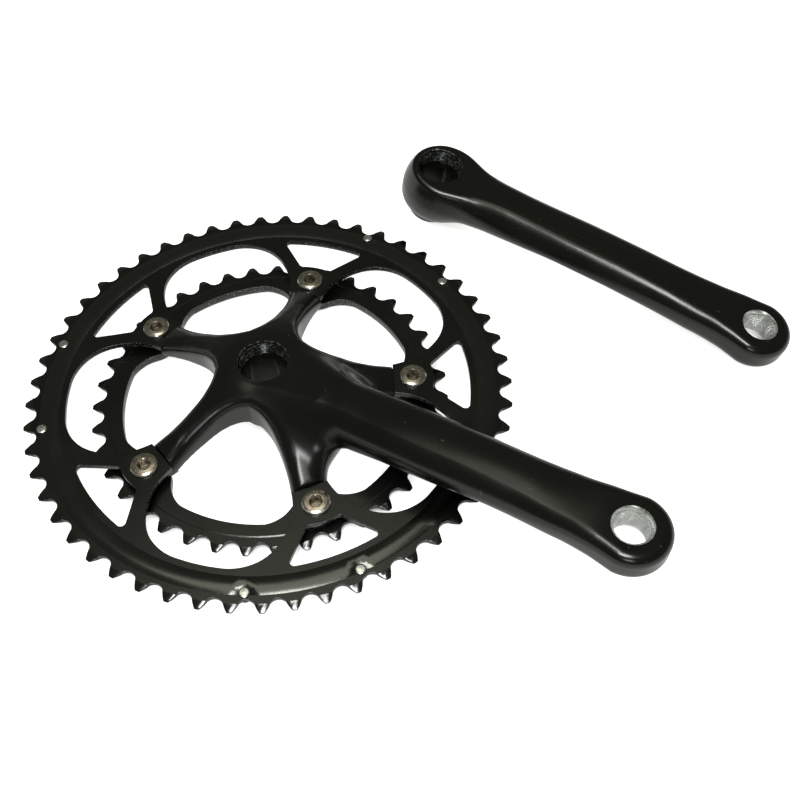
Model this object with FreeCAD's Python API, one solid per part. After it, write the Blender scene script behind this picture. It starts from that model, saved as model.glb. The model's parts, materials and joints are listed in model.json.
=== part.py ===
import FreeCAD, Part
import math
import os

# Bicycle crankset for a square-taper spindle: a right crank arm forged in one
# piece with a five-leg spider, two chainrings bolted to it, and a loose left
# crank arm lying beside it.  Millimetres.  The crank axis is the Z axis and the
# ground is Z = 0; the right arm points along +X with its outer face up.

V = FreeCAD.Vector

# ---- driving dimensions -------------------------------------------------
CRANK_LENGTH = 170.0        # spindle axis to pedal axis
BOLT_CIRCLE_R = 65.0        # five chainring bolts on a 130 mm circle
BOLT_COUNT = 5
FIRST_BOLT_DEG = 36.0
CHAIN_PITCH = 12.7
ROLLER_R = 3.95

BIG_TEETH = 53
BIG_FIRST_TIP_DEG = 26.42
SMALL_TEETH = 39
SMALL_FIRST_TIP_DEG = 40.37
TIP_HEIGHT = 1.7            # tooth tip above the pitch circle
TOOTH_THICK = 2.1
BIG_TOOTH_Z = 11.5          # middle plane of the big ring's teeth
SMALL_TOOTH_Z = 4.5

NUT_BOTTOM_Z = 0.0
SMALL_RING_Z0 = 1.6
TAB_Z0 = 5.75               # spider tab, sandwiched between the two rings
TAB_Z1 = 9.75
BIG_RING_Z1 = 12.25          # flat face that the bolt heads sit on
RIM_CREST_Z = 13.2           # raised rim between that face and the teeth
PIN_TOP_Z = 13.25
NUT_COUNTERBORE = 0.7
BOLT_HEAD_R = 6.0
BOLT_HEAD_TOP = 14.3
NUT_HEAD_R = 6.0
NUT_BARREL_R = 5.0
BOLT_SHANK_R = 4.0
HEX_FLATS = 5.0

SHOULDER_R = 56.0           # where each spider leg steps down to its tab
SHOULDER_Z = 14.25
HUB_FACE_Z = 31.2
PEDAL_OFFSET = 15.7         # pedal face outboard of the hub face
PEDAL_THICK = 14.6
PEDAL_END_R = 15.6
EXTRACTOR_R = 10.5          # bore of the M22 x 1 thread
EXTRACTOR_DEPTH = 9.0
EXTRACTOR_RIM_R = 11.3
PEDAL_HOLE_R = 6.7          # bore of the 9/16 inch x 20 pedal thread
PEDAL_RIM_R = 8.2
TAPER_FLATS = 12.75         # square hole across flats at its outer end
TAPER_DEG = 2.0
TAPER_CORNER_R = 1.6

RIGHT_BOSS_R = 14.0
LEFT_BOSS_R = 11.5
LEFT_BOSS_HEIGHT = 30.5     # hub outer face to the boss's inboard face
LEFT_CONTACT_R = 10.3       # boss edge the left arm lies on
LEFT_CONTACT_S = 182.0      # pedal-end edge it lies on
LEFT_HUB_X = 3.2
LEFT_HUB_Y = 145.4
LEFT_AZIMUTH_DEG = -1.0

PIN_R = 2.15
PIN_CIRCLE_R = 100.5
PIN_DEGREES = (69.7, 96.6, 197.6, 225.0, 300.9, 327.6)


# ---- small helpers ------------------------------------------------------
def polar(radius, degrees, z=0.0):
    a = math.radians(degrees)
    return V(radius * math.cos(a), radius * math.sin(a), z)


def turned(shape, degrees):
    copy = shape.copy()
    copy.rotate(V(0, 0, 0), V(0, 0, 1), degrees)
    return copy


def prism(wire, z0, z1):
    """Solid between two heights from a closed flat wire drawn at z = 0."""
    face = Part.Face(wire)
    face.translate(V(0, 0, z0))
    return face.extrude(V(0, 0, z1 - z0))


def revolved(points):
    """Solid of revolution about Z from (radius, height) points."""
    pts = [V(r, 0, z) for r, z in points]
    face = Part.Face(Part.makePolygon(pts + [pts[0]]))
    return face.revolve(V(0, 0, 0), V(0, 0, 1), 360)


def curve(points):
    spline = Part.BSplineCurve()
    spline.interpolate([V(x, y, 0) for x, y in points])
    return spline.toShape()


def cylinder(radius, z0, z1, x=0.0, y=0.0):
    return Part.makeCylinder(radius, z1 - z0, V(x, y, z0))


def save(shape, name):
    solids = shape.removeSplitter().Solids
    solid = max(solids, key=lambda s: s.Volume)
    solid.exportStep("parts/%s.step" % name)
    box = solid.BoundBox
    print("%-20s solids %d faces %4d  vol %9.1f  z %.2f..%.2f  valid %s" % (
        name, len(solids), len(solid.Faces), solid.Volume,
        box.ZMin, box.ZMax, solid.isValid()))


# ---- chainrings ---------------------------------------------------------
def pitch_radius(teeth):
    return CHAIN_PITCH / (2.0 * math.sin(math.pi / teeth))


def tooth_outline(teeth, first_tip_deg):
    """Closed wire through every tooth: roller seat, two flanks, narrow tip."""
    rp = pitch_radius(teeth)
    step = 360.0 / teeth
    edges = []
    seat_half = 52.0
    tip_half_deg = math.degrees(0.95 / (rp + TIP_HEIGHT))

    def place(radial, tangential, degrees):
        p = polar(radial, degrees)
        q = polar(tangential, degrees + 90.0)
        return p + q

    def seat_point(angle, degrees):
        a = math.radians(angle)
        return place(rp - ROLLER_R * math.cos(a), ROLLER_R * math.sin(a), degrees)

    def flank(seat_end, tip, outward):
        middle = (seat_end + tip) * 0.5
        along = tip - seat_end
        side = V(-along.y, along.x, 0)
        side.normalize()
        return Part.Arc(seat_end, middle + side * outward, tip).toShape()

    for i in range(teeth):
        tip_deg = first_tip_deg + i * step
        gap_deg = tip_deg + step / 2.0
        tip_a = polar(rp + TIP_HEIGHT, tip_deg - tip_half_deg)
        tip_b = polar(rp + TIP_HEIGHT, tip_deg + tip_half_deg)
        seat_a = seat_point(-seat_half, gap_deg)
        seat_m = seat_point(0.0, gap_deg)
        seat_b = seat_point(seat_half, gap_deg)
        next_tip = polar(rp + TIP_HEIGHT, tip_deg + step - tip_half_deg)
        edges.append(Part.LineSegment(tip_a, tip_b).toShape())
        edges.append(flank(tip_b, seat_a, -0.18))
        edges.append(Part.Arc(seat_a, seat_m, seat_b).toShape())
        edges.append(flank(seat_b, next_tip, -0.18))
    return Part.Wire(edges)


def kidney_opening():
    """Opening between two bolts, drawn about +X and open to the centre."""
    side = [(20, 11), (40, 22), (49.9, 26.6), (58.6, 29.8), (66, 30.4),
            (74.5, 29.0), (82.2, 24.8), (87.6, 17.8), (90.0, 8.9)]
    upper = [(x, y) for x, y in side]
    lower = [(x, -y) for x, y in reversed(side)]
    top = Part.Arc(V(90.0, 8.9, 0), V(90.5, 0, 0), V(90.0, -8.9, 0)).toShape()
    base = Part.LineSegment(V(20, -11, 0), V(20, 11, 0)).toShape()
    return Part.Wire([curve(upper), top, curve(lower), base])


def bolt_window():
    """Trapezoid window outside each bolt, drawn about +X, corners rounded."""
    r_out = 90.4
    outer_half_deg = 13.2
    inner_x = 73.4
    inner_y = 7.2
    a = polar(r_out, outer_half_deg)
    b = polar(r_out, -outer_half_deg)
    p = V(inner_x, inner_y, 0)
    q = V(inner_x, -inner_y, 0)
    wire = Part.Wire([
        Part.Arc(b, V(r_out, 0, 0), a).toShape(),
        Part.LineSegment(a, p).toShape(),
        Part.Arc(p, V(inner_x + 0.9, 0, 0), q).toShape(),
        Part.LineSegment(q, b).toShape()])
    block = prism(wire, -5, 30)
    corners = [e for e in block.Edges
               if abs(e.BoundBox.ZLength - 35) < 0.01 and e.BoundBox.XLength < 0.01]
    return block.makeFillet(2.0, corners)


def ring_profile(points_top, points_bottom, inner_r):
    """Turned section of a ring: top and bottom lines run outward."""
    outline = [(inner_r, points_bottom[0][1])] + points_bottom
    outline += list(reversed(points_top)) + [(inner_r, points_top[0][1])]
    return revolved(outline)


def big_chainring():
    tip_r = pitch_radius(BIG_TEETH) + TIP_HEIGHT + 1.0
    upper = BIG_TOOTH_Z + TOOTH_THICK / 2.0
    lower = BIG_TOOTH_Z - TOOTH_THICK / 2.0
    top = [(93.3, BIG_RING_Z1), (98.4, RIM_CREST_Z), (101.6, upper), (105.3, upper),
           (tip_r, upper - 0.95)]
    bottom = [(99.5, TAB_Z1), (101.5, lower), (105.3, lower), (tip_r, lower + 0.95)]
    blank = ring_profile(top, bottom, 40.0)
    ring = prism(tooth_outline(BIG_TEETH, BIG_FIRST_TIP_DEG), 0, 30).common(blank)
    kidney = prism(kidney_opening(), -5, 30)
    window = bolt_window()
    ring = ring.cut(cylinder(25.0, -5, 30))
    for i in range(BOLT_COUNT):
        angle = FIRST_BOLT_DEG + 72.0 * i
        ring = ring.cut(turned(kidney, angle + 36.0))
        ring = ring.cut(turned(window, angle))
        ring = ring.cut(turned(leg_clearance(), angle))
        at = polar(BOLT_CIRCLE_R, angle)
        ring = ring.cut(cylinder(NUT_BARREL_R + 0.05, -5, 30, at.x, at.y))
    for degrees in PIN_DEGREES:
        at = polar(PIN_CIRCLE_R, degrees)
        ring = ring.cut(cylinder(PIN_R + 0.04, -5, 30, at.x, at.y))
    return ring


def leg_clearance():
    """Everything inboard of a spider leg's shoulder, drawn about +X."""
    return Part.makeBox(SHOULDER_R + 0.35, 30, 40, V(0, -15, -5))


def small_chainring():
    tip_r = pitch_radius(SMALL_TEETH) + TIP_HEIGHT + 1.0
    upper = SMALL_TOOTH_Z + TOOTH_THICK / 2.0
    lower = SMALL_TOOTH_Z - TOOTH_THICK / 2.0
    top = [(72.0, TAB_Z0), (72.6, upper), (77.0, upper), (tip_r, upper - 0.95)]
    bottom = [(71.5, SMALL_RING_Z0), (73.6, lower), (77.0, lower), (tip_r, lower + 0.95)]
    blank = ring_profile(top, bottom, 50.0)
    teeth = prism(tooth_outline(SMALL_TEETH, SMALL_FIRST_TIP_DEG), -2, 20)
    ring = teeth.common(blank)
    ring = ring.cut(small_ring_inside())
    for i in range(BOLT_COUNT):
        at = polar(BOLT_CIRCLE_R, FIRST_BOLT_DEG + 72.0 * i)
        ring = ring.cut(cylinder(NUT_BARREL_R + 0.05, -5, 30, at.x, at.y))
        seat = SMALL_RING_Z0 + NUT_COUNTERBORE
        ring = ring.cut(cylinder(NUT_HEAD_R + 0.25, -5, seat, at.x, at.y))
    return ring


def small_ring_inside():
    """Round opening of the small ring less five rounded tabs at the bolts."""
    inside = cylinder(66.5, -5, 30)
    for i in range(BOLT_COUNT):
        outline = [(62.6, 22.6), (62.6, 17), (60.6, 11.5), (57.6, 7.2), (56.6, 3.5), (56.4, 0)]
        side = outline + [(x, -y) for x, y in reversed(outline[:-1])]
        edge = curve(side)
        corners = [(62.6, -22.6), (70, -22.6), (70, 22.6), (62.6, 22.6)]
        back = Part.makePolygon([V(x, y, 0) for x, y in corners])
        tab = prism(Part.Wire([edge] + back.Edges), -5, 30)
        inside = inside.cut(turned(tab, FIRST_BOLT_DEG + 72.0 * i))
    return inside


# ---- chainring bolts, nuts and shift pins -------------------------------
def chainring_bolt(x, y):
    seat = BIG_RING_Z1
    top = BOLT_HEAD_TOP
    r = BOLT_HEAD_R
    body = revolved([(0, TAB_Z0 + 1.0), (BOLT_SHANK_R - 0.5, TAB_Z0 + 1.0),
                     (BOLT_SHANK_R, TAB_Z0 + 1.5), (BOLT_SHANK_R, seat), (r, seat),
                     (r, top - 0.9), (r - 0.35, top - 0.45), (r - 1.3, top - 0.12),
                     (r - 2.6, top), (0, top)])
    socket = [polar(HEX_FLATS / 2.0 / math.cos(math.radians(30)), 60 * k) for k in range(6)]
    hexagon = prism(Part.makePolygon(socket + [socket[0]]), top - 3.2, top + 1)
    mouth = revolved([(0, top - 0.45), (HEX_FLATS / 2 + 0.05, top - 0.45),
                      (HEX_FLATS / 2 + 0.6, top + 0.1), (0, top + 0.1)])
    body = body.cut(hexagon).cut(mouth)
    body.translate(V(x, y, 0))
    return body


def chainring_nut(x, y):
    seat = SMALL_RING_Z0 + NUT_COUNTERBORE
    top = BIG_RING_Z1 - 0.8
    r = NUT_HEAD_R
    bore = BOLT_SHANK_R + 0.05
    body = revolved([(bore, NUT_BOTTOM_Z), (r - 0.5, NUT_BOTTOM_Z), (r, NUT_BOTTOM_Z + 0.5),
                     (r, seat), (NUT_BARREL_R, seat), (NUT_BARREL_R, top - 0.4),
                     (NUT_BARREL_R - 0.4, top), (bore, top)])
    slot = Part.makeBox(2 * r + 2, 2.2, 1.2, V(-r - 1, -1.1, NUT_BOTTOM_Z - 0.1))
    body = body.cut(slot)
    body.translate(V(x, y, 0))
    return body


def shift_pin(degrees):
    at = polar(PIN_CIRCLE_R, degrees)
    head_z = TAB_Z1 - 1.15
    body = revolved([(0, head_z), (2.2, head_z), (2.7, head_z + 0.4), (2.7, head_z + 0.7),
                     (PIN_R, head_z + 0.7), (PIN_R, PIN_TOP_Z - 0.1),
                     (PIN_R - 0.5, PIN_TOP_Z + 0.12), (0, PIN_TOP_Z + 0.2)])
    body.translate(at)
    return body


# ---- crank arms ---------------------------------------------------------
def arm_section(s, half_width, top_z, bottom_z, top_r, bottom_r, crown):
    """Rounded section across the arm at distance s from the crank axis."""
    w = half_width
    c = math.sqrt(0.5)

    def pt(y, z):
        return V(s, y, z)

    edges = [
        Part.Arc(pt(w - top_r, top_z), pt(0, top_z + crown), pt(-w + top_r, top_z)).toShape(),
        Part.Arc(pt(-w + top_r, top_z),
                 pt(-w + top_r - top_r * c, top_z - top_r + top_r * c),
                 pt(-w, top_z - top_r)).toShape(),
        Part.LineSegment(pt(-w, top_z - top_r), pt(-w, bottom_z + bottom_r)).toShape(),
        Part.Arc(pt(-w, bottom_z + bottom_r),
                 pt(-w + bottom_r - bottom_r * c, bottom_z + bottom_r - bottom_r * c),
                 pt(-w + bottom_r, bottom_z)).toShape(),
        Part.LineSegment(pt(-w + bottom_r, bottom_z), pt(w - bottom_r, bottom_z)).toShape(),
        Part.Arc(pt(w - bottom_r, bottom_z),
                 pt(w - bottom_r + bottom_r * c, bottom_z + bottom_r - bottom_r * c),
                 pt(w, bottom_z + bottom_r)).toShape(),
        Part.LineSegment(pt(w, bottom_z + bottom_r), pt(w, top_z - top_r)).toShape(),
        Part.Arc(pt(w, top_z - top_r),
                 pt(w - top_r + top_r * c, top_z - top_r + top_r * c),
                 pt(w - top_r, top_z)).toShape()]
    return Part.Wire(edges)


# distance from the axis, half width, top above and bottom below the hub face
ARM_STATIONS = (
    (0.0, 14.6, 0.0, -20.5),
    (18.0, 14.4, 0.4, -18.6),
    (36.0, 13.7, 2.0, -14.4),
    (54.0, 13.7, 4.1, -10.0),
    (78.0, 13.8, 7.1, -4.6),
    (104.0, 13.3, 10.2, -1.4),
    (128.0, 12.7, 13.0, -0.5),
    (146.0, 12.9, 14.9, 0.1),
    (158.0, 14.0, 15.55, 0.8),
    (170.0, 15.3, 15.55, 1.25))


def arm_blade(first):
    """Blade from the hub to the pedal axis; the hub face is at z = 0."""
    wires = []
    for s, w, top, bottom in ARM_STATIONS[first:]:
        near_end = max(0.0, (s - 128.0) / 42.0)
        top_r = 5.4 - 1.5 * near_end
        crown = 0.7 * (1.0 - near_end) if s > 20 else 0.3
        bottom_r = 4.6 - 1.6 * near_end
        wires.append(arm_section(s, w, top, bottom, top_r, bottom_r, crown + 0.02))
    return Part.makeLoft(wires, True, False)


def pedal_end():
    top = PEDAL_OFFSET
    low = PEDAL_OFFSET - PEDAL_THICK
    r = PEDAL_END_R
    profile = Part.Wire([
        Part.LineSegment(V(0, 0, low), V(r - 3.0, 0, low)).toShape(),
        Part.Arc(V(r - 3.0, 0, low), V(r - 0.88, 0, low + 0.88), V(r, 0, low + 3.0)).toShape(),
        Part.LineSegment(V(r, 0, low + 3.0), V(r, 0, top - 3.6)).toShape(),
        Part.Arc(V(r, 0, top - 3.6), V(r - 1.05, 0, top - 1.05), V(r - 3.6, 0, top)).toShape(),
        Part.LineSegment(V(r - 3.6, 0, top), V(0, 0, top)).toShape(),
        Part.LineSegment(V(0, 0, top), V(0, 0, low)).toShape()])
    eye = Part.Face(profile).revolve(V(0, 0, 0), V(0, 0, 1), 360)
    eye.translate(V(CRANK_LENGTH, 0, 0))
    return eye


def pedal_hole():
    top = PEDAL_OFFSET
    low = PEDAL_OFFSET - PEDAL_THICK
    chamfer = PEDAL_RIM_R - PEDAL_HOLE_R
    rim = 0.75
    hole = revolved([(0, low - 5), (PEDAL_HOLE_R + rim + 4.0, low - 5),
                     (PEDAL_HOLE_R + rim, low), (PEDAL_HOLE_R, low + rim),
                     (PEDAL_HOLE_R, top - chamfer), (PEDAL_RIM_R, top),
                     (PEDAL_RIM_R, top + 5), (0, top + 5)])
    hole.translate(V(CRANK_LENGTH, 0, 0))
    return hole


def spindle_hole(boss_height):
    """Extractor thread bore, its seat and the square taper, hub face at z = 0."""
    rim = EXTRACTOR_RIM_R - EXTRACTOR_R
    bore = revolved([(0, -EXTRACTOR_DEPTH), (EXTRACTOR_R, -EXTRACTOR_DEPTH),
                     (EXTRACTOR_R, -rim), (EXTRACTOR_RIM_R, 0), (EXTRACTOR_RIM_R, 5), (0, 5)])
    wires = []
    for z in (-EXTRACTOR_DEPTH + 0.5, -boss_height - 0.5):
        below = -EXTRACTOR_DEPTH - z
        half = TAPER_FLATS / 2.0 + below * math.tan(math.radians(TAPER_DEG))
        wires.append(rounded_square(half, TAPER_CORNER_R, z))
    taper = Part.makeLoft(wires, True, True)
    return bore.fuse(turned(taper, 45.0))


def rounded_square(half, corner, z):
    edges = []
    flat = half - corner
    c = corner * math.sqrt(0.5)
    for k in range(4):
        turn = FreeCAD.Rotation(V(0, 0, 1), 90.0 * k)
        a = turn.multVec(V(half, -flat, z))
        b = turn.multVec(V(half, flat, z))
        m = turn.multVec(V(flat + c, flat + c, z))
        e = turn.multVec(V(flat, half, z))
        edges.append(Part.LineSegment(a, b).toShape())
        edges.append(Part.Arc(b, m, e).toShape())
    return Part.Wire(edges)


def leg_web(notch):
    """Edge of the spider between two legs, drawn about +X, outermost first."""
    if notch:
        half = [(50.1, 26.5), (47.2, 22.6), (45.6, 18.6), (45.0, 14.0), (44.8, 9.0)]
    else:
        half = [(50.1, 26.5), (42.6, 22.6), (34.6, 17.3), (27.0, 10.9), (22.9, 4.6)]
    tip = (44.7, 0.0) if notch else (21.6, 0.0)
    return [(x, -y) for x, y in half] + [tip] + [(x, y) for x, y in reversed(half)]


def spider():
    """Five legs and their tabs about the crank axis, heights as built."""
    edges = []
    first = None
    last = None
    for i in range(BOLT_COUNT):
        centre = 72.0 * i
        points = []
        for x, y in leg_web(i == 0):
            p = V(x, y, 0)
            points.append(FreeCAD.Rotation(V(0, 0, 1), centre).multVec(p))
        spline = Part.BSplineCurve()
        spline.interpolate(points)
        if last is not None:
            edges.append(Part.LineSegment(last, points[0]).toShape())
        if first is None:
            first = points[0]
        edges.append(spline.toShape())
        last = points[-1]
    edges.append(Part.LineSegment(last, first).toShape())
    plan = prism(Part.Wire(edges), -2, 45)
    legs = plan.common(spider_section())
    side = [e for e in legs.Edges if leg_top_edge(e)]
    legs = legs.makeFillet(1.8, side)
    for i in range(BOLT_COUNT):
        tab = Part.makeBox(BOLT_CIRCLE_R - 50.0, 15.0, TAB_Z1 - TAB_Z0, V(50.0, -7.5, TAB_Z0))
        tab = tab.fuse(cylinder(7.9, TAB_Z0, TAB_Z1, BOLT_CIRCLE_R, 0))
        legs = legs.fuse(turned(tab, FIRST_BOLT_DEG + 72.0 * i))
    return legs


def spider_section():
    """Turned disc that gives the legs their sloping upper and lower faces."""
    rim = SHOULDER_R + 2.0
    top = Part.Arc(V(12.0, 0, HUB_FACE_Z), V(34.0, 0, 23.3), V(rim, 0, 13.7)).toShape()
    under = Part.Arc(V(rim, 0, TAB_Z0), V(38.0, 0, 10.6), V(14.0, 0, 16.0)).toShape()
    side = Part.LineSegment(V(rim, 0, 13.7), V(rim, 0, TAB_Z0)).toShape()
    inner = Part.makePolygon([V(14.0, 0, 16.0), V(0, 0, 16.0), V(0, 0, HUB_FACE_Z),
                              V(12.0, 0, HUB_FACE_Z)])
    outline = Part.Wire([top, side, under] + inner.Edges)
    return Part.Face(outline).revolve(V(0, 0, 0), V(0, 0, 1), 360)


def leg_top_edge(edge):
    """True for the long upper edges along a leg's sides."""
    middle = edge.valueAt((edge.FirstParameter + edge.LastParameter) / 2.0)
    radius = math.hypot(middle.x, middle.y)
    slope = HUB_FACE_Z - 0.43 * (radius - 15.5)
    if middle.z < slope - 3.5 or radius < 17.0 or edge.Length < 6.0:
        return False
    ends = [math.hypot(v.X, v.Y) for v in edge.Vertexes]
    return abs(ends[0] - ends[-1]) > 2.0 or len(ends) < 2


def right_hub():
    r = RIGHT_BOSS_R
    return revolved([(0, 0), (r - 1.2, 0), (r, 1.2), (r + 1.0, 13.0), (r + 2.4, 17.5),
                     (r + 2.4, 26.5), (r + 1.4, 29.6), (r - 0.2, 30.9), (r - 1.6, HUB_FACE_Z),
                     (0, HUB_FACE_Z)])


def right_crank_arm():
    upper = arm_blade(0).fuse(pedal_end())
    upper.translate(V(0, 0, HUB_FACE_Z))
    body = upper.fuse(spider()).fuse(right_hub())
    holes = spindle_hole(HUB_FACE_Z).fuse(pedal_hole())
    holes.translate(V(0, 0, HUB_FACE_Z))
    body = body.cut(holes)
    for i in range(BOLT_COUNT):
        at = polar(BOLT_CIRCLE_R, FIRST_BOLT_DEG + 72.0 * i)
        body = body.cut(cylinder(NUT_BARREL_R + 0.05, -5, 20, at.x, at.y))
    return body


def left_hub():
    r = LEFT_BOSS_R
    h = LEFT_BOSS_HEIGHT
    return revolved([(0, -h), (r - 1.2, -h), (r, -h + 1.2), (r, -h + 5.0),
                     (r + 1.4, -h + 5.4), (r + 4.0, -h + 8.0), (r + 5.3, -h + 12.5),
                     (r + 5.4, -11.0), (r + 4.9, -6.0), (r + 3.8, -2.4), (r + 2.6, -0.7),
                     (r + 1.2, 0), (0, 0)])


def left_crank_arm():
    """Same blade on a plain hub, then laid on its boss edge and pedal end."""
    body = arm_blade(0).fuse(pedal_end()).fuse(left_hub())
    body = body.cut(spindle_hole(LEFT_BOSS_HEIGHT)).cut(pedal_hole())
    rise = LEFT_BOSS_HEIGHT + PEDAL_OFFSET - PEDAL_THICK
    tilt = math.degrees(math.atan2(rise, LEFT_CONTACT_S - LEFT_CONTACT_R))
    body.rotate(V(0, 0, 0), V(0, 1, 0), tilt)
    body.rotate(V(0, 0, 0), V(0, 0, 1), LEFT_AZIMUTH_DEG)
    lowest = body.optimalBoundingBox(False).ZMin
    body.translate(V(LEFT_HUB_X, LEFT_HUB_Y, -lowest))
    print("left arm tilt %.3f deg, hub face centre height %.3f" % (tilt, -lowest))
    return body


# ---- write every node ---------------------------------------------------
os.makedirs("parts", exist_ok=True)
save(right_crank_arm(), "right_crank_arm")
save(left_crank_arm(), "left_crank_arm")
save(big_chainring(), "big_chainring")
save(small_chainring(), "small_chainring")
for number in range(BOLT_COUNT):
    centre = polar(BOLT_CIRCLE_R, FIRST_BOLT_DEG + 72.0 * number)
    save(chainring_bolt(centre.x, centre.y), "chainring_bolt_%d" % (number + 1))
    save(chainring_nut(centre.x, centre.y), "chainring_nut_%d" % (number + 1))
for number, pin_angle in enumerate(PIN_DEGREES):
    save(shift_pin(pin_angle), "shift_pin_%d" % (number + 1))
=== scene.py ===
"""Looks for a bicycle crankset: a right crank arm with its spider and two chainrings, and a loose left arm.

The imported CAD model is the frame.  The two forged arms are rebuilt here as smooth blended surfaces, the
threaded holes get real threads, and the rings, bolts, nuts and pins keep their CAD shapes.
"""
import json
import math

import bmesh
import bpy
import numpy as np
from mathutils import Matrix, Vector


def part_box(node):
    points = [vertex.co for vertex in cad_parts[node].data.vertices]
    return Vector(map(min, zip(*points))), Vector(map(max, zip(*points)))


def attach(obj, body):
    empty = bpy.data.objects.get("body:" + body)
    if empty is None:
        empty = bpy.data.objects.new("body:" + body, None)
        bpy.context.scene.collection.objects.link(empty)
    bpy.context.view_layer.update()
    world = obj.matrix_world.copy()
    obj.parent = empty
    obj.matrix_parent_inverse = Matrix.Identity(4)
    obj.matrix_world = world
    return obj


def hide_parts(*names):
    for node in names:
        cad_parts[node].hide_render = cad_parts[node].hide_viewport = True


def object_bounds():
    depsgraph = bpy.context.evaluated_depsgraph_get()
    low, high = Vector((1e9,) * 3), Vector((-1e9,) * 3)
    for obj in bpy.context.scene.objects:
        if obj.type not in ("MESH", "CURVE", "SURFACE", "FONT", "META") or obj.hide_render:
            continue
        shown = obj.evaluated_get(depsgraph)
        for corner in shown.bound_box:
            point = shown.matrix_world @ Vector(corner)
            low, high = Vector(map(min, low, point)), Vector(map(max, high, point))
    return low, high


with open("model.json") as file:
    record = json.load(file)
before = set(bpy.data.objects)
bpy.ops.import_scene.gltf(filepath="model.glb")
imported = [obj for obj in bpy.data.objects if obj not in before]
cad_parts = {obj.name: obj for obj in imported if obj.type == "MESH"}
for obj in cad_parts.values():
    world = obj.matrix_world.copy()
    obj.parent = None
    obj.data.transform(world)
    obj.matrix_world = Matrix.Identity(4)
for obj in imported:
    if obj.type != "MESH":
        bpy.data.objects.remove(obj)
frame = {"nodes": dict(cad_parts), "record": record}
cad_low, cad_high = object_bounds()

MM = 0.001

# ---- sizes in millimetres, as the CAD model has them ------------------------------------
CRANK_LENGTH = 170.0
BOLT_COUNT = 5
BOLT_CIRCLE_R = 65.0
FIRST_BOLT_DEG = 36.0
BOLT_HOLE_R = 5.05
SHOULDER_R = 56.0
EYE_R = 15.6
EXTRACTOR_R = 10.5
EXTRACTOR_RIM_R = 11.3
EXTRACTOR_DEPTH = 9.0
EXTRACTOR_MOUNT_DEPTH = 4.9         # its mount lies this far below the hub face
EXTRACTOR_PITCH = 1.0
PEDAL_R = 6.7
PEDAL_RIM_R = 8.2
PEDAL_THICK = 14.6
PEDAL_PITCH = 1.27
TAPER_FLATS = 12.75
TAPER_DEG = 2.0                     # slope of the square taper's flats
LEFT_BOSS_HEIGHT = 30.5
GRID_STEP = 0.75                    # spacing of the grid that the arms are meshed on
WELD_REACH = 0.001                  # corners nearer than this are one corner
RING_BEVEL = 0.16                   # width of the broken edges of the rings
THREAD_DEPTH = 0.45                 # from the crests to the roots of the drawn threads

# distance from the crank axis, half width, top and underside measured from the hub face
ARM_STATIONS = np.array((
    (0.0, 14.6, 0.0, -20.5),
    (18.0, 14.4, 0.4, -18.6),
    (36.0, 13.7, 2.0, -14.4),
    (54.0, 13.7, 4.1, -10.0),
    (78.0, 13.8, 7.1, -4.6),
    (104.0, 13.3, 10.2, -1.4),
    (128.0, 12.7, 13.0, -0.5),
    (146.0, 12.9, 14.9, 0.1),
    (158.0, 14.1, 15.6, 0.8),
    (170.0, EYE_R, 15.7, 1.1)))

# height above the left hub's face and radius of the bulge there
LEFT_HUB = ((-30.5, 11.5), (-26.0, 11.7), (-24.5, 13.8), (-22.0, 15.8), (-18.0, 16.9), (-13.0, 17.0),
            (-8.0, 16.3), (-4.0, 15.1), (-1.5, 13.9), (0.0, 12.7), (1.0, 11.4))

# The tables below give distances from the crank axis, then the value at each of them.
SIDE_FULLNESS = ((20, 50, 140, 162), (0, 0.5, 0.7, 0))
CROWN = ((0, 20, 45, 100, 128, 145, 170), (0, 0.5, 2.4, 2.8, 2.0, 0.9, 0))
CROWN_SPAN = 14.0                   # from the arm's middle line to where the crown has fallen away
TOP_DROP = ((25, 60, 135, 160), (0, 1.1, 1.3, 0))
LOW_DROP = ((80, 120, 140, 160), (0, 0.8, 0.8, 0))
UPPER_EDGE = ((0, 20, 45, 78, 128, 148, 170), (4.4, 6.5, 8.4, 7.6, 6.8, 5.8, 4.4))
LEFT_HUB_EDGE = ((-6, 12, 30, 45), (1.2, 4.2, 7.6, 8.4))
LEG_TOP = ((0, 11, 16, 24, 34, 46, 58, 62), (0, 0, -0.6, -3.0, -7.0, -12.0, -17.5, -19.4))
LEG_EDGE = ((18, 32, 46, 58), (2.6, 4.6, 6.2, 6.2))
ARM_LEG_FILLET = ((12, 34), (0.3, 13.0))
LEFT_HUB_FILLET = 11.0
RIGHT_BOSS_R = 14.4

# distance from the crank axis and radius of the lower edges there
RIGHT_LOW_EDGE = ((0, 30, 60, 90, 118, 150, 170), (3.0, 2.2, 1.3, 1.6, 5.6, 6.5, 5.0))
LEFT_LOW_EDGE = ((0, 30, 60, 90, 118, 150, 170), (7.5, 7.5, 6.0, 4.6, 5.6, 6.5, 5.0))

# edge of the spider between two legs: distance out along the gap, half width of the gap there
WEB_EDGE = ((21.6, 0.0), (22.9, 4.6), (27.0, 10.9), (34.6, 17.3), (42.6, 22.6), (50.1, 26.5), (57.0, 30.3))
ARM_WEB_EDGE = ((44.7, 0.0), (44.8, 9.0), (45.0, 14.0), (45.6, 18.6), (47.2, 22.6), (50.1, 26.5),
                (57.0, 31.6))


# ---- stage and camera; lengths in metres ---------------------------------------------------------
FLOOR_GLOW = 1.06
REFLECTED_GLOW = 0.42               # share of the floor's glow that the glossy parts mirror; the dimmer glow in reflections stands in for the floor's shade near the parts
CAMERA_AT = (0.197212, -0.196426, 0.376911)
CAMERA_RIGHT = (0.839952, 0.541555, -0.034627)
CAMERA_UP = (-0.423455, 0.694009, 0.582269)
CAMERA_LENS = 45.8326               # millimetres, on a 36 mm wide frame
CAMERA_SHIFT = (0.03468, 0.00398)   # share of the frame's width
WORLD_STRENGTH = 0.13
BACKDROP_STRENGTH = 1.2
FLOOR_HALF = 6.0


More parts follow.
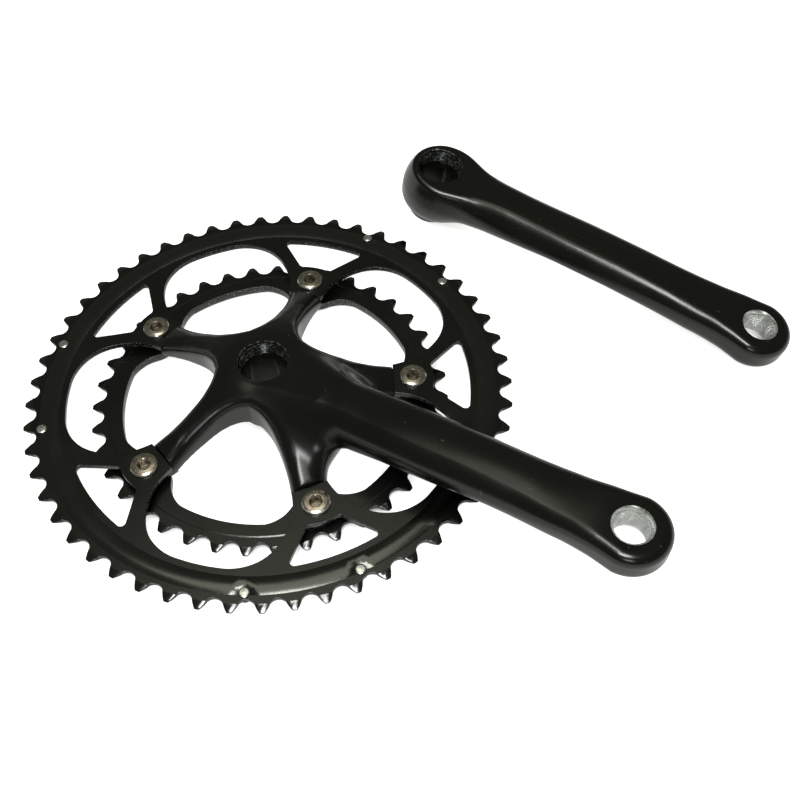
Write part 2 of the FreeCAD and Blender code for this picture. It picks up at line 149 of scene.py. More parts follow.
# ---- frames of the two arms -------------------------------------------------------------
def mount(name):
    """Place and unit axis of one of the record's mounts."""
    found = next(m for m in frame["record"]["mounts"] if m["name"] == name)
    return Vector(found["pos_m"]), Vector(found["axis"]).normalized()


def arm_frame(side):
    """Matrix from an arm's own frame to the row frame: hub face centre at 0, +X to the pedal."""
    hub, axis = mount("extractor_thread_" + side)
    pedal, _ = mount("pedal_thread_" + side)
    along = pedal - hub
    along = (along - axis * along.dot(axis)).normalized()
    across = axis.cross(along)
    centre = hub + axis * EXTRACTOR_MOUNT_DEPTH * MM
    turn = Matrix((along, across, axis)).transposed().to_4x4()
    return Matrix.Translation(centre) @ turn


RIGHT = arm_frame("right")
LEFT = arm_frame("left")
HUB_FACE_Z = RIGHT.translation.z / MM
TAB_TOP_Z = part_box("big_chainring")[0].z / MM - HUB_FACE_Z
TAB_LOW_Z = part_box("small_chainring")[1].z / MM - HUB_FACE_Z


# ---- distance fields, millimetres in an arm's own frame ---------------------------------
def round_and(a, b, r):
    """Inside both a and b, with the edge between them rounded to radius r."""
    return np.minimum(-r, np.maximum(a, b)) + np.hypot(np.maximum(a + r, 0), np.maximum(b + r, 0))


def round_or(a, b, r):
    """Inside a or b, with a fillet of radius r where they meet."""
    return np.maximum(r, np.minimum(a, b)) - np.hypot(np.maximum(r - a, 0), np.maximum(r - b, 0))


def through(x, xs, ys):
    """Smooth curve through the points, without overshoot, flat beyond its ends."""
    xs = np.asarray(xs, float)
    ys = np.asarray(ys, float)
    rise = np.diff(ys) / np.diff(xs)
    slope = np.zeros_like(ys)
    same = rise[1:] * rise[:-1] > 0
    both = rise[1:] + rise[:-1]
    slope[1:-1] = np.where(same, 2 * rise[1:] * rise[:-1] / np.where(same, both, 1), 0)
    slope[0] = rise[0]
    slope[-1] = rise[-1]
    x = np.clip(x, xs[0], xs[-1])
    k = np.clip(np.searchsorted(xs, x) - 1, 0, len(xs) - 2)
    width = xs[k + 1] - xs[k]
    t = (x - xs[k]) / width
    a = (1 + 2 * t) * (1 - t) ** 2 * ys[k] + t * t * (3 - 2 * t) * ys[k + 1]
    b = t * (1 - t) ** 2 * width * slope[k] - t * t * (1 - t) * width * slope[k + 1]
    return a + b


def blade_sides(p, start=0.0):
    """Distance outside the arm's outline as seen from above."""
    s = np.clip(p[:, 0], start, CRANK_LENGTH)
    half = through(s, ARM_STATIONS[:, 0], ARM_STATIONS[:, 1])
    half = half + through(s, *SIDE_FULLNESS)
    return np.hypot(p[:, 1], p[:, 0] - s) - half


def blade_top(p):
    """Height above the arm's crowned upper face."""
    s = np.clip(p[:, 0], 0, CRANK_LENGTH)
    crown = through(s, *CROWN)
    top = through(s, ARM_STATIONS[:, 0], ARM_STATIONS[:, 2])
    top = top - through(s, *TOP_DROP)
    q = np.hypot(p[:, 1], p[:, 0] - s)
    return p[:, 2] - top - crown * (1 - (q / CROWN_SPAN) ** 2)


def blade_edge(p):
    """Radius of the arm's upper edges."""
    return through(p[:, 0], *UPPER_EDGE)


def blade_low(p, field, low_edge):
    """The field cut off along the arm's underside."""
    s = np.clip(p[:, 0], 0, CRANK_LENGTH)
    low = through(s, ARM_STATIONS[:, 0], ARM_STATIONS[:, 3])
    low = low - through(s, *LOW_DROP)
    return round_and(field, low - p[:, 2], through(s, *low_edge))


def column_field(p, radius, low, top, low_r, top_r):
    """Round column on the crank axis, with rounded lower and upper edges."""
    q = np.hypot(p[:, 0], p[:, 1]) - radius
    return round_and(round_and(q, p[:, 2] - top, top_r), low - p[:, 2], low_r)


def web_distance(out, across, edge):
    """Signed distance past the web's edge, positive in the gap between two legs."""
    half_width = [e[1] for e in edge]
    reach = [e[0] for e in edge]
    side = np.minimum(np.abs(across), half_width[-1])
    nudge = 0.05
    here = through(side, half_width, reach)
    slope = (through(side + nudge, half_width, reach) - through(side - nudge, half_width, reach)) / 2 / nudge
    return (out - here) / np.hypot(1, slope)


def parabola(r, points):
    """Height at r of the parabola through three points."""
    return np.polyval(np.polyfit(*zip(*points), 2), r)


def spider_field(p):
    """Five legs with sloping tops, out to a little past the shoulder."""
    x, y, z = p.T
    r = np.hypot(x, y)
    angle = np.arctan2(y, x)
    turn = 2 * math.pi / BOLT_COUNT
    gap = np.round(angle / turn)
    local = angle - gap * turn
    out = r * np.cos(local)
    across = r * np.sin(local)
    plain = web_distance(out, across, WEB_EDGE)
    under_arm = web_distance(out, across, ARM_WEB_EDGE)
    plan = np.where(gap == 0, under_arm, plain)
    plan = np.maximum(plan, r - SHOULDER_R - 5)
    reach = np.clip(r, 8, SHOULDER_R + 6)
    top = through(r, *LEG_TOP)
    low = parabola(reach, ((14, -15.2), (38, -20.6), (58, TAB_LOW_Z)))
    upper = round_and(plan, (z - top) * 0.92, through(r, *LEG_EDGE))
    return round_and(upper, (low - z) * 0.96, 0.5)


def right_field(p):
    """Spider, boss and arm blended into one forging."""
    legs = spider_field(p)
    boss = column_field(p, RIGHT_BOSS_R, -HUB_FACE_Z, -10.0, 1.2, 1.0)
    centre = round_or(legs, boss, 2.0)
    blade = round_and(blade_sides(p), blade_top(p), blade_edge(p))
    blade = blade_low(p, blade, RIGHT_LOW_EDGE)
    fillet = np.interp(np.hypot(p[:, 0], p[:, 1]), *ARM_LEG_FILLET)
    return round_or(centre, blade, fillet)


def left_field(p):
    """Bulging hub and arm joined at the sides, under one upper face."""
    heights, radii = zip(*LEFT_HUB)
    rho = np.hypot(p[:, 0], p[:, 1])
    z = np.clip(p[:, 2], heights[0], heights[-1])
    slope = (through(z + 0.1, heights, radii) - through(z - 0.1, heights, radii)) / 0.2
    hub = (rho - through(z, heights, radii)) / np.hypot(1, slope)
    hub = round_and(hub, -LEFT_BOSS_HEIGHT - p[:, 2], 1.0)
    blade = blade_low(p, blade_sides(p, 10.0), LEFT_LOW_EDGE)
    hub_reach = LEFT_HUB_EDGE[0][-1]
    edge = np.minimum(through(p[:, 0], *LEFT_HUB_EDGE), blade_edge(p) + 4)
    edge = np.where(p[:, 0] > hub_reach, blade_edge(p), edge)
    return round_and(round_or(hub, blade, LEFT_HUB_FILLET), blade_top(p), edge)


# ---- from a field to a mesh -------------------------------------------------------------
def sampled(field, low, counts, step):
    """Field on a grid: worked out in full only in blocks that the surface may cross."""
    block = 4
    coarse_counts = [-(-n // block) for n in counts]
    axes = [low[k] + step * (block * np.arange(coarse_counts[k]) + (block - 1) / 2) for k in range(3)]
    coarse = np.stack(np.meshgrid(*axes, indexing="ij"), -1).reshape(-1, 3)
    rough = field(coarse)
    value = np.repeat(rough, block ** 3).reshape(*coarse_counts, block, block, block)
    near = np.flatnonzero(np.abs(rough) < step * block * 1.9)
    offset = np.stack(np.meshgrid(*[np.arange(block)] * 3, indexing="ij"), -1).reshape(-1, 3)
    offset = offset - (block - 1) / 2
    flat = value.reshape(-1, block ** 3)
    for part in np.array_split(near, max(1, len(near) // 6000)):
        points = (coarse[part][:, None, :] + step * offset[None]).reshape(-1, 3)
        flat[part] = field(points).reshape(len(part), -1)
    full = value.transpose(0, 3, 1, 4, 2, 5).reshape(*[n * block for n in coarse_counts])
    return full[:counts[0], :counts[1], :counts[2]]


def surface_net(value, low, step):
    """Vertices and quads of the zero surface of a grid of values."""
    size = [n - 1 for n in value.shape]
    corners = [(i, j, k) for i in (0, 1) for j in (0, 1) for k in (0, 1)]

    def shifted(grid, c):
        return grid[c[0]:c[0] + size[0], c[1]:c[1] + size[1], c[2]:c[2] + size[2]]

    inside = value < 0
    count = sum(shifted(inside, c).astype(np.int8) for c in corners)
    cells = (count > 0) & (count < 8)
    where = np.argwhere(cells)
    index = np.full(cells.shape, -1)
    index[cells] = np.arange(len(where))
    at = [shifted(value, c)[cells] for c in corners]
    total = np.zeros((len(where), 3))
    hits = np.zeros(len(where))
    for a in range(8):
        for b in range(a + 1, 8):
            step_ab = np.subtract(corners[b], corners[a])
            if np.abs(step_ab).sum() != 1:
                continue
            cross = (at[a] < 0) != (at[b] < 0)
            t = np.where(cross, at[a] / np.where(cross, at[a] - at[b], 1), 0)
            total += cross[:, None] * (np.array(corners[a]) + t[:, None] * step_ab)
            hits += cross
    vertices = np.array(low) + step * (where + total / hits[:, None])
    quads = []
    for axis in range(3):
        u, v = (axis + 1) % 3, (axis + 2) % 3
        first = np.moveaxis(inside, (axis, u, v), (0, 1, 2))
        cell = np.moveaxis(index, (axis, u, v), (0, 1, 2))
        start, stop = first[:-1, 1:-1, 1:-1], first[1:, 1:-1, 1:-1]
        ring = [cell[:, :-1, :-1], cell[:, 1:, :-1], cell[:, 1:, 1:], cell[:, :-1, 1:]]
        outward = start & ~stop
        inward = ~start & stop
        quads.append(np.stack([c[outward] for c in ring], 1))
        quads.append(np.stack([c[inward] for c in reversed(ring)], 1))
    return vertices, np.concatenate(quads)


def settled(field, points):
    """Points moved onto the zero surface along the field's slope."""
    h = 0.02
    for _ in range(4):
        slope = np.stack([(field(points + h * e) - field(points - h * e)) / (2 * h) for e in np.eye(3)], 1)
        size = np.maximum((slope ** 2).sum(1), 0.05)
        move = np.clip(field(points) / size, -0.4, 0.4)
        points = points - slope * move[:, None]
    return points


def new_object(name, vertices, faces, place):
    """Mesh object from millimetre points in a local frame, put in the row frame."""
    mesh = bpy.data.meshes.new(name)
    mesh.from_pydata((np.asarray(vertices) * MM).tolist(), [], [list(map(int, f)) for f in faces])
    mesh.transform(place)
    mesh.update()
    thing = bpy.data.objects.new(name, mesh)
    bpy.context.scene.collection.objects.link(thing)
    return thing


def field_object(name, field, low, high, place):
    counts = [int((b - a) / GRID_STEP) + 2 for a, b in zip(low, high)]
    vertices, quads = surface_net(sampled(field, low, counts, GRID_STEP), low, GRID_STEP)
    return new_object(name, settled(field, vertices), quads, place)


# ---- plain solids used as cutters and tabs ----------------------------------------------
def prism(rings):
    """Closed solid through loops of points, bottom loop first, each loop anticlockwise."""
    n = len(rings[0])
    vertices = [v for ring in rings for v in ring]
    faces = [list(reversed(range(n)))]
    for k in range(len(rings) - 1):
        for i in range(n):
            j = (i + 1) % n
            faces.append([k * n + i, k * n + j, (k + 1) * n + j, (k + 1) * n + i])
    faces.append([(len(rings) - 1) * n + i for i in range(n)])
    return vertices, faces


def circle(radius, z, x=0.0, y=0.0, sides=96):
    turns = [2 * math.pi * i / sides for i in range(sides)]
    return [(x + radius * math.cos(a), y + radius * math.sin(a), z) for a in turns]


def joined(solids):
    vertices, faces = [], []
    for more, sides in solids:
        base = len(vertices)
        vertices += more
        faces += [[base + i for i in f] for f in sides]
    return vertices, faces


def turned(points, degrees):
    c, s = math.cos(math.radians(degrees)), math.sin(math.radians(degrees))
    return [(x * c - y * s, x * s + y * c, z) for x, y, z in points]


def bolt_degrees():
    return [FIRST_BOLT_DEG + 360 / BOLT_COUNT * i for i in range(BOLT_COUNT)]


def shoulder_cutters():
    """Blocks outboard of every shoulder."""
    near, far, half = SHOULDER_R, SHOULDER_R + 30, 16
    solids = []
    for degrees in bolt_degrees():
        loops = []
        for z in (-40, -4):
            loop = [(near, -half, z), (far, -half, z), (far, half, z), (near, half, z)]
            loops.append(turned(loop, degrees))
        solids.append(prism(loops))
    return joined(solids)


def tabs():
    """Rounded lugs between the two rings, one under each bolt."""
    half, end_r = 7.5, 7.9
    start = math.degrees(math.asin(half / end_r))
    solids = []
    for degrees in bolt_degrees():
        arc = [math.radians(-start + 2 * start * i / 24) for i in range(25)]
        loops = []
        for z in (TAB_LOW_Z, TAB_TOP_Z):
            loop = [(SHOULDER_R - 2, -half, z)]
            loop += [(BOLT_CIRCLE_R + end_r * math.cos(a), end_r * math.sin(a), z) for a in arc]
            loop += [(SHOULDER_R - 2, half, z)]
            loops.append(turned(loop, degrees))
        solids.append(prism(loops))
    return joined(solids)


def bolt_holes():
    solids = []
    for degrees in bolt_degrees():
        x = BOLT_CIRCLE_R * math.cos(math.radians(degrees))
        y = BOLT_CIRCLE_R * math.sin(math.radians(degrees))
        solids.append(prism([circle(BOLT_HOLE_R, -40, x, y, 48), circle(BOLT_HOLE_R, -15, x, y, 48)]))
    return joined(solids)


def rounded_square(half, corner, z):
    points = []
    for k in range(4):
        for i in range(7):
            a = math.radians(90 * k + 15 * i)
            cx = (half - corner) * (1 if k in (0, 3) else -1)
            cy = (half - corner) * (1 if k in (0, 1) else -1)
            points.append((cx + corner * math.cos(a), cy + corner * math.sin(a), z))
    return points


def spindle_hole(boss_height):
    """Smooth bore for the thread insert, its seat, and the square taper below it."""
    bore = prism([circle(EXTRACTOR_RIM_R, -EXTRACTOR_DEPTH), circle(EXTRACTOR_RIM_R, 12)])
    loops = []
    for z in (-boss_height - 1, -EXTRACTOR_DEPTH + 1):
        half = TAPER_FLATS / 2 + (-EXTRACTOR_DEPTH - z) * math.tan(math.radians(TAPER_DEG))
        loops.append(turned(rounded_square(half, 1.6, z), 45))
    return bore, prism(loops)


def pedal_hole():
    top = ARM_STATIONS[-1, 2]
    flare = 0.8
    low = top - PEDAL_THICK
    return prism([circle(PEDAL_RIM_R + 4 + flare, low - 4, CRANK_LENGTH),
                  circle(PEDAL_RIM_R, low + flare, CRANK_LENGTH),
                  circle(PEDAL_RIM_R, top + 5, CRANK_LENGTH)])


def combine(thing, solid, place, how):
    """Boolean of a mesh with a plain solid, applied at once."""
    tool = new_object("tool", *solid, place)
    change = thing.modifiers.new("cut", "BOOLEAN")
    change.operation = how
    change.solver = "EXACT"
    change.object = tool
    graph = bpy.context.evaluated_depsgraph_get()
    mesh = bpy.data.meshes.new_from_object(thing.evaluated_get(graph))
    thing.modifiers.clear()
    old = thing.data
    thing.data = mesh
    bpy.data.meshes.remove(old)
    bpy.data.objects.remove(tool)


def absorb(thing, other):
    """Take another object's mesh into this one."""
    both = bmesh.new()
    both.from_mesh(thing.data)
    both.from_mesh(other.data)
    both.to_mesh(thing.data)
    both.free()
    bpy.data.objects.remove(other)


def finish_mesh(thing, sharp_degrees=34):
    mesh = thing.data
    mesh.polygons.foreach_set("use_smooth", [True] * len(mesh.polygons))
    mesh.set_sharp_from_angle(angle=math.radians(sharp_degrees))
    mesh.update()


# ---- threads ----------------------------------------------------------------------------
def thread_insert(name, rim_r, crest_r, root_r, pitch, top, low, rim_drop, low_flare, centre_x, place):
    """Sleeve whose inner wall is a helical thread; its outer wall sits in the arm's bore."""
    sides = 96
    rows_per_turn = 8
    rows = int((top - rim_drop - low) / pitch * rows_per_turn)
    vertices = []
    for i in range(rows + 1):
        depth = top - rim_drop - (top - rim_drop - low) * i / rows
        for j in range(sides):
            turn = j / sides
            wave = abs(2 * (((depth / pitch + turn) % 1.0)) - 1)
            fade = min(1.0, i / rows_per_turn, (rows - i) / rows_per_turn)
            r = crest_r + (root_r - crest_r) * (fade * wave ** 1.2 + (1 - fade))
            a = 2 * math.pi * turn
            vertices.append((centre_x + r * math.cos(a), r * math.sin(a), depth))
    faces = []

    def strip(first, second):
        for j in range(sides):
            k = (j + 1) % sides
            faces.append([first + j, first + k, second + k, second + j])

    for i in range(rows):
        strip(i * sides, (i + 1) * sides)
    rings = [(rim_r - 0.02, top - 0.05), (rim_r, top - 0.35), (rim_r, low + low_flare), (rim_r - 0.4, low)]
    base = len(vertices)
    for r, z in rings:
        vertices += circle(r, z, centre_x, 0.0, sides)
    strip(base, 0)
    for k in range(len(rings) - 1):
        strip(base + (k + 1) * sides, base + k * sides)
    strip(rows * sides, base + (len(rings) - 1) * sides)
    sleeve = new_object(name, vertices, faces, place)
    finish_mesh(sleeve, 50)
    return sleeve


# ---- materials --------------------------------------------------------------------------
class Surface:
    """A material built from a few procedural layers on its shader."""

    def __init__(self, name, metallic=0.0, **fixed):
        self.material = bpy.data.materials.new(name)
        self.material.use_nodes = True
        self.nodes = self.material.node_tree.nodes
        self.links = self.material.node_tree.links
        self.shader = self.nodes["Principled BSDF"]
        self.shader.inputs["Metallic"].default_value = metallic
        for key, value in fixed.items():
            self.shader.inputs[key.replace("_", " ")].default_value = value
        self.where = self.nodes.new("ShaderNodeTexCoord").outputs["Object"]

    def node(self, kind, inputs, **settings):
        made = self.nodes.new(kind)
        for key, value in settings.items():
            setattr(made, key, value)
        for key, value in inputs.items():
            if isinstance(value, bpy.types.NodeSocket):
                self.links.new(value, made.inputs[key])
            else:
                made.inputs[key].default_value = value
        return made

    def noise(self, scale, detail=3.0, where=None, **more):
        inputs = {"Vector": where or self.where, "Scale": scale, "Detail": detail, **more}
        return self.node("ShaderNodeTexNoise", inputs).outputs["Fac"]

    def span(self, value, low, high, to_low, to_high):
        inputs = {"Value": value, "From Min": low, "From Max": high, "To Min": to_low, "To Max": to_high}
        return self.node("ShaderNodeMapRange", inputs).outputs["Result"]

    def math(self, how, a, b):
        return self.node("ShaderNodeMath", {0: a, 1: b}, operation=how).outputs[0]

    def mix(self, factor, a, b):
        made = self.node("ShaderNodeMix", {0: factor}, data_type="RGBA")
        for socket, value in ((made.inputs[6], a), (made.inputs[7], b)):
            if isinstance(value, bpy.types.NodeSocket):
                self.links.new(value, socket)
            else:
                socket.default_value = (*value, 1.0)
        return made.outputs[2]

    def bump(self, height, distance_mm, strength=1.0, onto=None):
        inputs = {"Height": height, "Distance": distance_mm * MM, "Strength": strength}
        if onto is not None:
            inputs["Normal"] = onto
        return self.node("ShaderNodeBump", inputs).outputs["Normal"]

    def finish(self, colour, roughness, normal):
        self.links.new(colour, self.shader.inputs["Base Color"])
        self.links.new(roughness, self.shader.inputs["Roughness"])
        self.links.new(normal, self.shader.inputs["Normal"])
        return self.material

    def ridge(self):
        """Over a half on sharp crests, under a half in grooves."""
        return self.node("ShaderNodeNewGeometry", {}).outputs["Pointiness"]

    def radius(self):
        """Distance from the crank axis, in metres."""
        flat = self.node("ShaderNodeVectorMath", {0: self.where, 1: (1, 1, 0)}, operation="MULTIPLY")
        return self.node("ShaderNodeVectorMath", {0: flat.outputs[0]}, operation="LENGTH").outputs["Value"]


def gloss_black():
    """Black paint over the forging: slight orange peel, rubbed patches, a few pale nicks."""
    s = Surface("gloss_black_paint", IOR=1.5)
    patches = s.noise(38, 4)
    nicks = s.span(s.noise(520, 2), 0.735, 0.76, 0.0, 1.0)
    colour = s.mix(patches, (0.0024, 0.0025, 0.0018), (0.0042, 0.0043, 0.0032))
    colour = s.mix(nicks, colour, (0.05, 0.05, 0.045))
    roughness = s.span(patches, 0.3, 0.7, 0.19, 0.27)
    peel = s.bump(s.noise(420, 2), 0.02, 0.2)
    normal = s.bump(s.noise(60, 2), 0.1, 0.15, peel)
    return s.finish(colour, roughness, normal)


def bore_black():
    """Blackened extractor thread, with bright metal colour along the crests, partly bare wear and partly a
    painted glint.
    """
    s = Surface("thread_black", IOR=1.5)
    s.shader.inputs["Metallic"].default_value = 0.85
    # crests painted bright metal: partly wear, partly a painted highlight standing in for glints
    crest = s.span(s.ridge(), 0.49, 0.56, 0.0, 1.0)
    worn = s.math("MULTIPLY", crest, s.span(s.noise(700, 3), 0.45, 0.6, 0.15, 1.0))
    colour = s.mix(worn, (0.012, 0.013, 0.011), (0.6, 0.62, 0.62))
    roughness = s.span(s.noise(300, 2), 0.3, 0.7, 0.14, 0.3)
    return s.finish(colour, roughness, s.bump(s.noise(1500, 2), 0.03, 0.5))


def satin_black():
    """Black anodised plate: fine turning marks, shinier slopes, speckled wear on the cut edges."""
    s = Surface("satin_black_anodised", IOR=1.5)
    rings = s.node("ShaderNodeCombineXYZ", {"X": s.radius()}).outputs[0]
    turning = s.noise(5200, 2, rings)
    patches = s.noise(45, 3)
    flat = s.node("ShaderNodeNewGeometry", {}).outputs["True Normal"]
    up = s.node("ShaderNodeSeparateXYZ", {0: flat}).outputs["Z"]
    tilt = s.math("ABSOLUTE", up, 0.0)
    wall = s.span(tilt, 0.9, 0.6, 0.0, 1.0)
    speckle = s.span(s.noise(1100, 3), 0.56, 0.66, 0.0, 1.0)
    worn = s.math("MULTIPLY", wall, speckle)
    colour = s.mix(patches, (0.0008, 0.0009, 0.0006), (0.0018, 0.0019, 0.0014))
    colour = s.mix(worn, colour, (0.16, 0.16, 0.15))
    not_level = s.span(tilt, 0.998, 0.99, 0.0, 1.0)
    not_steep = s.span(tilt, 0.94, 0.96, 0.0, 1.0)
    turned_slope = s.math("MULTIPLY", not_level, not_steep)
    s.links.new(s.span(turned_slope, 0.0, 1.0, 0.5, 1.0), s.shader.inputs["Specular IOR Level"])
    roughness = s.span(patches, 0.3, 0.7, 0.22, 0.32)
    roughness = s.math("MULTIPLY", roughness, s.span(turned_slope, 0.0, 1.0, 1.0, 0.6))
    normal = s.bump(turning, 0.01, 0.5)
    normal = s.bump(s.noise(900, 3), 0.03, 0.4, normal)
    return s.finish(colour, roughness, normal)


def nickel():
    """Nickel plated bolt: warm tarnish in patches, edges painted bright (partly worn plating, partly a
    painted highlight), and painted shade down in the socket.
    """
    s = Surface("nickel_plate", metallic=1.0)
    tarnish = s.noise(420, 4)
    colour = s.mix(s.span(tarnish, 0.35, 0.65, 0.0, 1.0), (0.56, 0.5, 0.44), (0.34, 0.27, 0.21))
    # sharp edges painted near white: partly worn plating, partly a painted highlight at the socket's mouth
    colour = s.mix(s.span(s.ridge(), 0.52, 0.6, 0.0, 1.0), colour, (0.95, 0.94, 0.9))
    # painted shade: the colour goes dark where ambient occlusion finds the surface hemmed in, down in the
    # socket and along the head's sides
    ao_for_painted_shade = s.node("ShaderNodeAmbientOcclusion", {"Distance": 0.004}, samples=8).outputs["AO"]
    colour = s.mix(s.span(ao_for_painted_shade, 0.25, 0.5, 0.0, 1.0), (0.12, 0.11, 0.1), colour)
    roughness = s.span(s.noise(900, 3), 0.3, 0.7, 0.18, 0.32)
    return s.finish(colour, roughness, s.bump(s.noise(2200, 2), 0.02, 0.5))


def bare_steel():
    """Steel pin heads: uneven grey with fine scratches."""
    s = Surface("bare_steel", metallic=1.0)
    colour = s.mix(s.noise(600, 3), (0.82, 0.81, 0.79), (0.56, 0.55, 0.53))
    roughness = s.span(s.noise(800, 2), 0.3, 0.7, 0.2, 0.36)
    return s.finish(colour, roughness, s.bump(s.noise(1800, 2), 0.02, 0.5))


def bright_thread():
    """Bare aluminium cut by a tap, with painted shade darkening the thread's grooves."""
    s = Surface("cut_aluminium", metallic=1.0)
    colour = s.mix(s.noise(700, 3), (0.93, 0.93, 0.92), (0.8, 0.8, 0.79))
    # painted shade: colour made darker in the grooves, where the pointiness is low
    colour = s.mix(s.span(s.ridge(), 0.44, 0.52, 0.0, 1.0), (0.5, 0.5, 0.5), colour)
    roughness = s.span(s.noise(900, 2), 0.3, 0.7, 0.22, 0.4)
    return s.finish(colour, roughness, s.bump(s.noise(2400, 2), 0.02, 0.6))


def paper():
    """Pale floor, lit so evenly that it glows wherever the sky above it is open; where it is hemmed in, as
    under the hubs, it is painted dark and its glow is cut, a painted shadow.
    """
    s = Surface("pale_floor", IOR=1.4)
    colour = s.mix(s.noise(3, 2), (0.58, 0.58, 0.57), (0.62, 0.62, 0.61))
    ao_for_painted_shadow = s.node("ShaderNodeAmbientOcclusion", {"Distance": 0.03}, samples=8).outputs["AO"]
    # painted shadow: near black colour where the floor is hemmed in
    colour = s.mix(s.span(ao_for_painted_shadow, 0.04, 0.1, 0.0, 1.0), (0.02, 0.02, 0.018), colour)
    # painted shadow: the glow fades out where the floor is hemmed in
    glow = s.span(ao_for_painted_shadow, 0.06, 0.2, 0.0, FLOOR_GLOW)
    seen = s.node("ShaderNodeLightPath", {}).outputs["Is Camera Ray"]
    # the glow mirrored in the parts is dimmer than the glow seen straight on, standing in for the floor's
    # shade near the parts
    glow = s.math("MULTIPLY", glow, s.span(seen, 0.0, 1.0, REFLECTED_GLOW, 1.0))
    s.links.new(glow, s.shader.inputs["Emission Strength"])
    s.shader.inputs["Emission Color"].default_value = (1.0, 1.0, 0.99, 1.0)
    s.shader.inputs["Specular IOR Level"].default_value = 0.1
    return s.finish(colour, s.span(s.noise(20, 2), 0.3, 0.7, 0.7, 0.85), s.bump(s.noise(60, 3), 0.1, 0.2))


# ---- build the pieces -------------------------------------------------------------------
def dress(thing, material, body):
    thing.data.materials.clear()
    thing.data.materials.append(material)
    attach(thing, body)


def right_arm(paint):
    thing = field_object("right_arm_forging", right_field, (-62, -62, -33), (188, 62, 18), RIGHT)
    combine(thing, shoulder_cutters(), RIGHT, "DIFFERENCE")
    for solid in (*spindle_hole(HUB_FACE_Z), pedal_hole()):
        combine(thing, solid, RIGHT, "DIFFERENCE")
    lugs = new_object("lugs", *tabs(), RIGHT)
    combine(lugs, bolt_holes(), RIGHT, "DIFFERENCE")
    absorb(thing, lugs)
    finish_mesh(thing)
    dress(thing, paint, "drive_side")
    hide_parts("right_crank_arm")


def left_arm(paint):
    thing = field_object("left_arm_forging", left_field, (-20, -20, -33), (188, 20, 18), LEFT)
    for solid in (*spindle_hole(LEFT_BOSS_HEIGHT), pedal_hole()):
        combine(thing, solid, LEFT, "DIFFERENCE")
    finish_mesh(thing)
    dress(thing, paint, "left_arm")
    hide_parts("left_crank_arm")


def inserts(side, place, body, bright, black):
    top = ARM_STATIONS[-1, 2]
    pedal = thread_insert("pedal_thread_" + side, PEDAL_RIM_R, PEDAL_R, PEDAL_R + THREAD_DEPTH, PEDAL_PITCH,
                          top, top - PEDAL_THICK + 0.9, 1.1, 0.3, CRANK_LENGTH, place)
    dress(pedal, bright, body)
    hub_root = EXTRACTOR_R + THREAD_DEPTH
    hub = thread_insert("extractor_thread_" + side, EXTRACTOR_RIM_R, EXTRACTOR_R, hub_root, EXTRACTOR_PITCH,
                        0.0, -EXTRACTOR_DEPTH + 0.02, 0.8, 0.3, 0.0, place)
    dress(hub, black, body)


def cad_looks(plate, bolt, pin):
    """Materials for the nodes that keep their CAD shape, and softened edges for the rings."""
    for name, thing in frame["nodes"].items():
        if "crank_arm" in name:
            continue
        is_ring = name in ("big_chainring", "small_chainring")
        material = plate if is_ring else pin if "pin" in name else bolt
        thing.data.materials.clear()
        thing.data.materials.append(material)
        if not is_ring:
            continue
        weld = thing.modifiers.new("weld", "WELD")
        weld.merge_threshold = WELD_REACH * MM
        bevel = thing.modifiers.new("bevel", "BEVEL")
        bevel.width = RING_BEVEL * MM
        bevel.segments = 2
        bevel.limit_method = "ANGLE"
        bevel.angle_limit = math.radians(30)
        bevel.use_clamp_overlap = True
        bevel.harden_normals = False


# ---- stage, light and camera ------------------------------------------------------------


def floor():
    half = FLOOR_HALF
    loop = [(-half, -half, 0), (half, -half, 0), (half, half, 0), (-half, half, 0)]
    mesh = bpy.data.meshes.new("floor")
    mesh.from_pydata(loop, [], [[0, 1, 2, 3]])
    thing = bpy.data.objects.new("floor", mesh)
    bpy.context.scene.collection.objects.link(thing)
    mesh.materials.append(paper())


def soft_light(name, at, towards, size, power, colour):
    data = bpy.data.lights.new(name, "AREA")
    data.shape = "RECTANGLE"
    data.size, data.size_y = size
    data.energy = power
    data.color = colour
    thing = bpy.data.objects.new(name, data)
    thing.location = at
    thing.rotation_mode = "QUATERNION"
    thing.rotation_quaternion = (Vector(towards) - Vector(at)).to_track_quat("-Z", "Y")
    bpy.context.scene.collection.objects.link(thing)


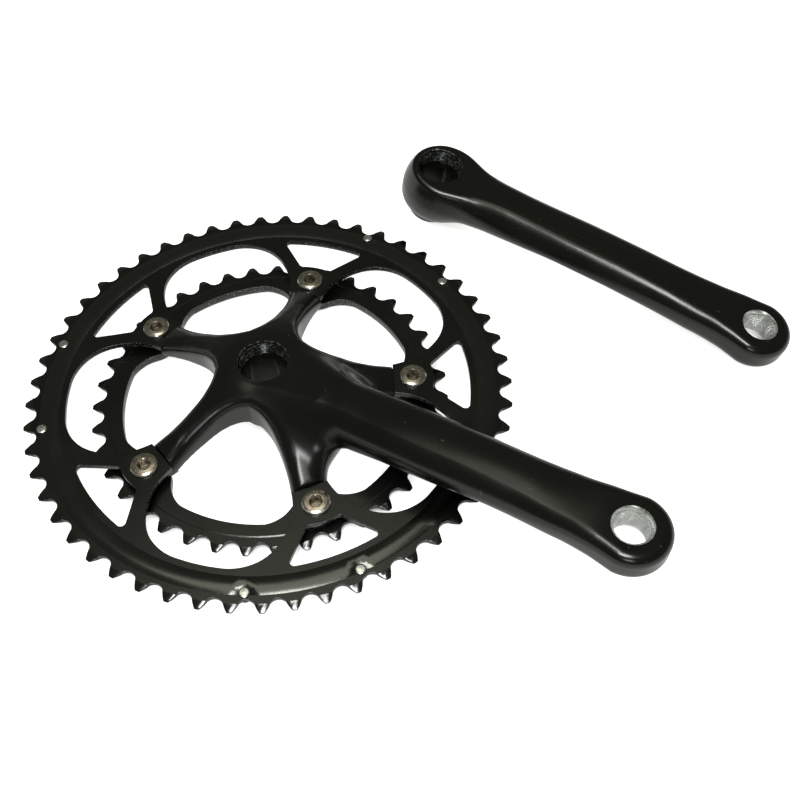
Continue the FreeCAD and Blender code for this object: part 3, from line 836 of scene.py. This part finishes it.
def studio():
    """A dim room that the parts mirror, a pale backdrop behind them, and four soft lights."""
    world = bpy.data.worlds.new("studio")
    bpy.context.scene.world = world
    world.use_nodes = True
    nodes, links = world.node_tree.nodes, world.node_tree.links
    dim = nodes["Background"]
    dim.inputs["Color"].default_value = (0.92, 1.0, 0.78, 1.0)
    dim.inputs["Strength"].default_value = WORLD_STRENGTH
    pale = nodes.new("ShaderNodeBackground")
    pale.inputs["Color"].default_value = (1.0, 1.0, 1.0, 1.0)
    pale.inputs["Strength"].default_value = BACKDROP_STRENGTH
    path = nodes.new("ShaderNodeLightPath")
    mix = nodes.new("ShaderNodeMixShader")
    links.new(path.outputs["Is Camera Ray"], mix.inputs["Fac"])
    links.new(dim.outputs[0], mix.inputs[1])
    links.new(pale.outputs[0], mix.inputs[2])
    links.new(mix.outputs[0], nodes["World Output"].inputs["Surface"])
    middle = (cad_low + cad_high) / 2
    soft_light("overhead", middle + Vector((0.2, -0.43, 1.4)), middle, (0.45, 0.45), 12.0, (0.97, 1.0, 1.0))
    soft_light("ridge", middle + Vector((-0.35, 0.25, 1.45)), middle, (0.6, 0.6), 1.7, (1.0, 1.0, 0.8))
    soft_light("front", middle + Vector((0.63, -1.09, 0.81)), middle, (0.4, 0.3), 2.0, (0.93, 0.98, 1.0))
    soft_light("above", (-0.03, -0.08, 1.41), (0.06, -0.08, 0.01), (0.25, 0.25), 2.6, (1.0, 1.0, 0.9))


def camera():
    right, up = Vector(CAMERA_RIGHT), Vector(CAMERA_UP)
    turn = Matrix((right, up, right.cross(up))).transposed()
    data = bpy.data.cameras.new("camera")
    data.lens = CAMERA_LENS
    data.sensor_width = 36.0
    data.shift_x, data.shift_y = CAMERA_SHIFT
    data.clip_start = 0.01
    thing = bpy.data.objects.new("camera", data)
    thing.matrix_world = Matrix.Translation(CAMERA_AT) @ turn.to_4x4()
    bpy.context.scene.collection.objects.link(thing)
    bpy.context.scene.camera = thing


paint = gloss_black()
dark_thread = bore_black()
right_arm(paint)
left_arm(paint)
cut_metal = bright_thread()
inserts("right", RIGHT, "drive_side", cut_metal, dark_thread)
inserts("left", LEFT, "left_arm", cut_metal, dark_thread)
cad_looks(satin_black(), nickel(), bare_steel())
floor()
studio()
camera()
bpy.context.scene.view_settings.view_transform = "Standard"
